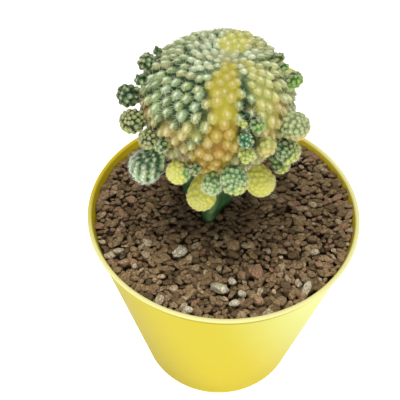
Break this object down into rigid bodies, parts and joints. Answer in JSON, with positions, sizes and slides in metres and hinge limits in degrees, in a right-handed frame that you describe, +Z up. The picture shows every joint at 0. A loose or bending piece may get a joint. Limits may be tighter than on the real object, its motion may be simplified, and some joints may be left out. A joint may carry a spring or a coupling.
{
  "type": "potted weingartia",
  "caption": "Grafted variegated cactus with a squat tubercled head and a ring of small offsets, on a three-angled green rootstock in a gravel-topped yellow plastic pot.",
  "frame": {"origin": "middle of the pot's standing ring, on the surface it stands on", "axes": "+Z up along the pot's axis, -Y to the front, +X to the right as seen from the front"},
  "size_m": [0.105, 0.105, 0.162],
  "materials": {
    "pot": "smooth bright yellow plastic, slightly translucent",
    "mix": "damp grit and compost",
    "gravel": "rough volcanic grit, brown and red-brown with a few pale stones",
    "rootstock": "smooth dark green plant skin",
    "head_skin": "living skin, blue-green with yellow sectors, pale areoles and spines",
    "offset_green": "living skin, dark green with white spines",
    "offset_yellow": "living skin, yellow with pale spines",
    "offset_mixed": "living skin, yellow-green with white spines"
  },
  "bodies": {
    "root": {"pot": "pot", "potting_mix": "mix", "gravel": "gravel", "rootstock": "rootstock", "mother_head": "head_skin", "offset_01": "offset_green", "offset_02": "offset_green", "offset_03": "offset_green", "offset_04": "offset_mixed", "offset_05": "offset_green", "offset_06": "offset_green", "offset_07": "offset_green", "offset_08": "offset_yellow", "offset_09": "offset_green", "offset_10": "offset_yellow", "offset_11": "offset_green", "offset_12": "offset_mixed", "offset_13": "offset_yellow", "offset_14": "offset_green", "offset_15": "offset_green", "offset_16": "offset_mixed", "offset_17": "offset_yellow", "offset_18": "offset_mixed", "offset_19": "offset_mixed", "offset_20": "offset_mixed", "offset_21": "offset_green", "offset_22": "offset_green", "offset_23": "offset_green", "offset_24": "offset_green", "offset_25": "offset_green", "offset_26": "offset_yellow", "offset_27": "offset_mixed", "offset_28": "offset_green", "offset_29": "offset_green", "offset_30": "offset_green", "offset_31": "offset_mixed", "offset_32": "offset_green", "offset_33": "offset_green", "offset_34": "offset_mixed"}
  },
  "joints": []
}
